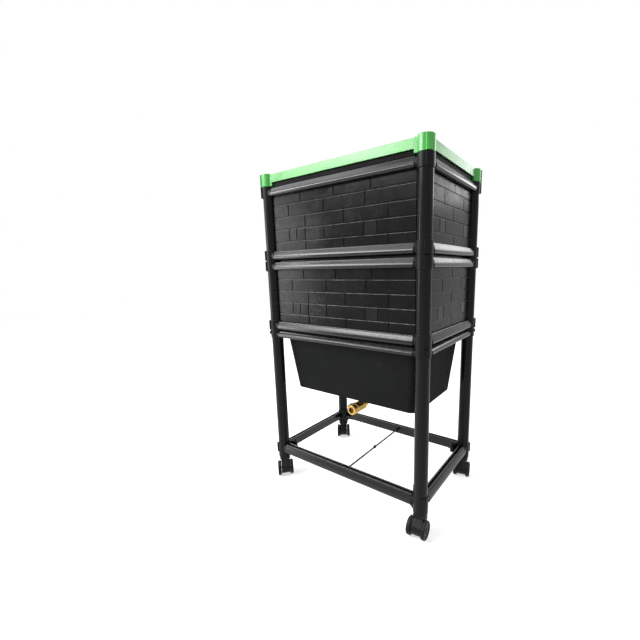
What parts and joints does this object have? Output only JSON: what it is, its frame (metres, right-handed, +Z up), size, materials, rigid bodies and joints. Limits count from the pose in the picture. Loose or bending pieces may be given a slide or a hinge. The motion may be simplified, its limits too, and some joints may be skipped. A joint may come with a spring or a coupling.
{
  "type": "wormery",
  "caption": "Upright wormery: stacked brick-sided worm bins with a lid, over a tapered storage tank with a drain valve, on a four-legged castor stand.",
  "frame": {"origin": "on the floor, under the middle of the stand's four legs", "axes": "+Z up, +X to the right along the long front, +Y from the front to the back"},
  "size_m": [0.7103, 0.4927, 1.208],
  "materials": {
    "black_tube": "smooth extruded tube, slightly glossy",
    "black_fitting": "moulded, satin",
    "black_rail": "extruded, satin with a soft shine",
    "brick_panel": "moulded brick pattern, satin",
    "floor_plastic": "moulded, matt",
    "tank_plastic": "moulded, fine grain",
    "green_cap": "moulded, glossy",
    "green_lid": "moulded, glossy",
    "rod_black": "painted",
    "seal_rubber": "moulded, matt",
    "valve_brass": "cast and turned",
    "ball_chrome": "polished",
    "plated_steel": "zinc plated",
    "handle_brass": "cast, satin",
    "castor_black": "moulded, satin",
    "wheel_black": "moulded nylon, satin"
  },
  "bodies": {
    "stand": {"base_connectors": "black_fitting", "leg_front_left": "black_tube", "leg_front_right": "black_tube", "leg_back_left": "black_tube", "leg_back_right": "black_tube", "base_rails_long": "black_rail", "base_rails_short": "black_rail", "top_ring_connectors": "black_fitting", "top_ring_rails": "black_rail", "tie_rod": "rod_black", "tie_clip": "black_fitting", "castor_stems": "plated_steel"},
    "tank": {"tank_tub": "tank_plastic", "outlet_seals": "seal_rubber", "outlet_nut": "valve_brass", "outlet_elbow": "valve_brass", "valve_body": "valve_brass"},
    "valve_handle": {"valve_ball": "ball_chrome", "valve_stem": "plated_steel", "valve_handle": "handle_brass", "valve_handle_nut": "plated_steel"},
    "tier_lower": {"lower_foot_connectors": "black_fitting", "lower_head_connectors": "black_fitting", "lower_posts": "black_tube", "lower_foot_rails": "black_rail", "lower_head_rails": "black_rail", "lower_panel_front": "brick_panel", "lower_panel_back": "brick_panel", "lower_panel_right": "brick_panel", "lower_panel_left": "brick_panel", "lower_worm_floor": "floor_plastic"},
    "tier_upper": {"upper_foot_connectors": "black_fitting", "upper_head_connectors": "black_fitting", "upper_posts": "black_tube", "upper_foot_rails": "black_rail", "upper_head_rails": "black_rail", "upper_panel_front": "brick_panel", "upper_panel_back": "brick_panel", "upper_panel_right": "brick_panel", "upper_panel_left": "brick_panel", "upper_worm_floor": "floor_plastic"},
    "lid": {"lid_caps": "green_cap", "lid_panel": "green_lid", "lid_skirt": "black_rail"},
    "castor_front_left": {"castor_hood_front_left": "castor_black", "castor_axle_front_left": "plated_steel"},
    "wheel_front_left_a": {"castor_wheel_a_front_left": "wheel_black"},
    "wheel_front_left_b": {"castor_wheel_b_front_left": "wheel_black"},
    "castor_front_right": {"castor_hood_front_right": "castor_black", "castor_axle_front_right": "plated_steel"},
    "wheel_front_right_a": {"castor_wheel_a_front_right": "wheel_black"},
    "wheel_front_right_b": {"castor_wheel_b_front_right": "wheel_black"},
    "castor_back_left": {"castor_hood_back_left": "castor_black", "castor_axle_back_left": "plated_steel"},
    "wheel_back_left_a": {"castor_wheel_a_back_left": "wheel_black"},
    "wheel_back_left_b": {"castor_wheel_b_back_left": "wheel_black"},
    "castor_back_right": {"castor_hood_back_right": "castor_black", "castor_axle_back_right": "plated_steel"},
    "wheel_back_right_a": {"castor_wheel_a_back_right": "wheel_black"},
    "wheel_back_right_b": {"castor_wheel_b_back_right": "wheel_black"}
  },
  "joints": [
    {"name": "tank_lift", "type": "slide", "parent": "stand", "child": "tank", "axis": [0, 0, 1], "range_m": [0, 0.32]},
    {"name": "valve_turn", "type": "hinge", "parent": "tank", "child": "valve_handle", "pos_m": [0, -0.105, 0.33], "axis": [1, 0, 0], "range_deg": [0, 90]},
    {"name": "lower_tier_lift", "type": "slide", "parent": "tank", "child": "tier_lower", "axis": [0, 0, 1], "range_m": [0, 0.25]},
    {"name": "upper_tier_lift", "type": "slide", "parent": "tier_lower", "child": "tier_upper", "axis": [0, 0, 1], "range_m": [0, 0.25]},
    {"name": "lid_lift", "type": "slide", "parent": "tier_upper", "child": "lid", "axis": [0, 0, 1], "range_m": [0, 0.3]},
    {"name": "castor_front_left_swivel", "type": "hinge", "parent": "stand", "child": "castor_front_left", "pos_m": [-0.32, -0.205, 0.076], "axis": [0, 0, 1], "continuous": true},
    {"name": "wheel_front_left_a_roll", "type": "hinge", "parent": "castor_front_left", "child": "wheel_front_left_a", "pos_m": [-0.30468, -0.21786, 0.03], "axis": [0.6428, 0.766, 0], "continuous": true},
    {"name": "wheel_front_left_b_roll", "type": "hinge", "parent": "castor_front_left", "child": "wheel_front_left_b", "pos_m": [-0.30468, -0.21786, 0.03], "axis": [0.6428, 0.766, 0], "continuous": true},
    {"name": "castor_front_right_swivel", "type": "hinge", "parent": "stand", "child": "castor_front_right", "pos_m": [0.32, -0.205, 0.076], "axis": [0, 0, 1], "continuous": true},
    {"name": "wheel_front_right_a_roll", "type": "hinge", "parent": "castor_front_right", "child": "wheel_front_right_a", "pos_m": [0.32139, -0.22495, 0.03], "axis": [0.9976, 0.0698, 0], "continuous": true},
    {"name": "wheel_front_right_b_roll", "type": "hinge", "parent": "castor_front_right", "child": "wheel_front_right_b", "pos_m": [0.32139, -0.22495, 0.03], "axis": [0.9976, 0.0698, 0], "continuous": true},
    {"name": "castor_back_left_swivel", "type": "hinge", "parent": "stand", "child": "castor_back_left", "pos_m": [-0.32, 0.205, 0.076], "axis": [0, 0, 1], "continuous": true},
    {"name": "wheel_back_left_a_roll", "type": "hinge", "parent": "castor_back_left", "child": "wheel_back_left_a", "pos_m": [-0.30769, 0.18924, 0.03], "axis": [0.788, 0.6157, 0], "continuous": true},
    {"name": "wheel_back_left_b_roll", "type": "hinge", "parent": "castor_back_left", "child": "wheel_back_left_b", "pos_m": [-0.30769, 0.18924, 0.03], "axis": [0.788, 0.6157, 0], "continuous": true},
    {"name": "castor_back_right_swivel", "type": "hinge", "parent": "stand", "child": "castor_back_right", "pos_m": [0.32, 0.205, 0.076], "axis": [0, 0, 1], "continuous": true},
    {"name": "wheel_back_right_a_roll", "type": "hinge", "parent": "castor_back_right", "child": "wheel_back_right_a", "pos_m": [0.32416, 0.18544, 0.03], "axis": [0.9781, 0.2079, 0], "continuous": true},
    {"name": "wheel_back_right_b_roll", "type": "hinge", "parent": "castor_back_right", "child": "wheel_back_right_b", "pos_m": [0.32416, 0.18544, 0.03], "axis": [0.9781, 0.2079, 0], "continuous": true}
  ]
}
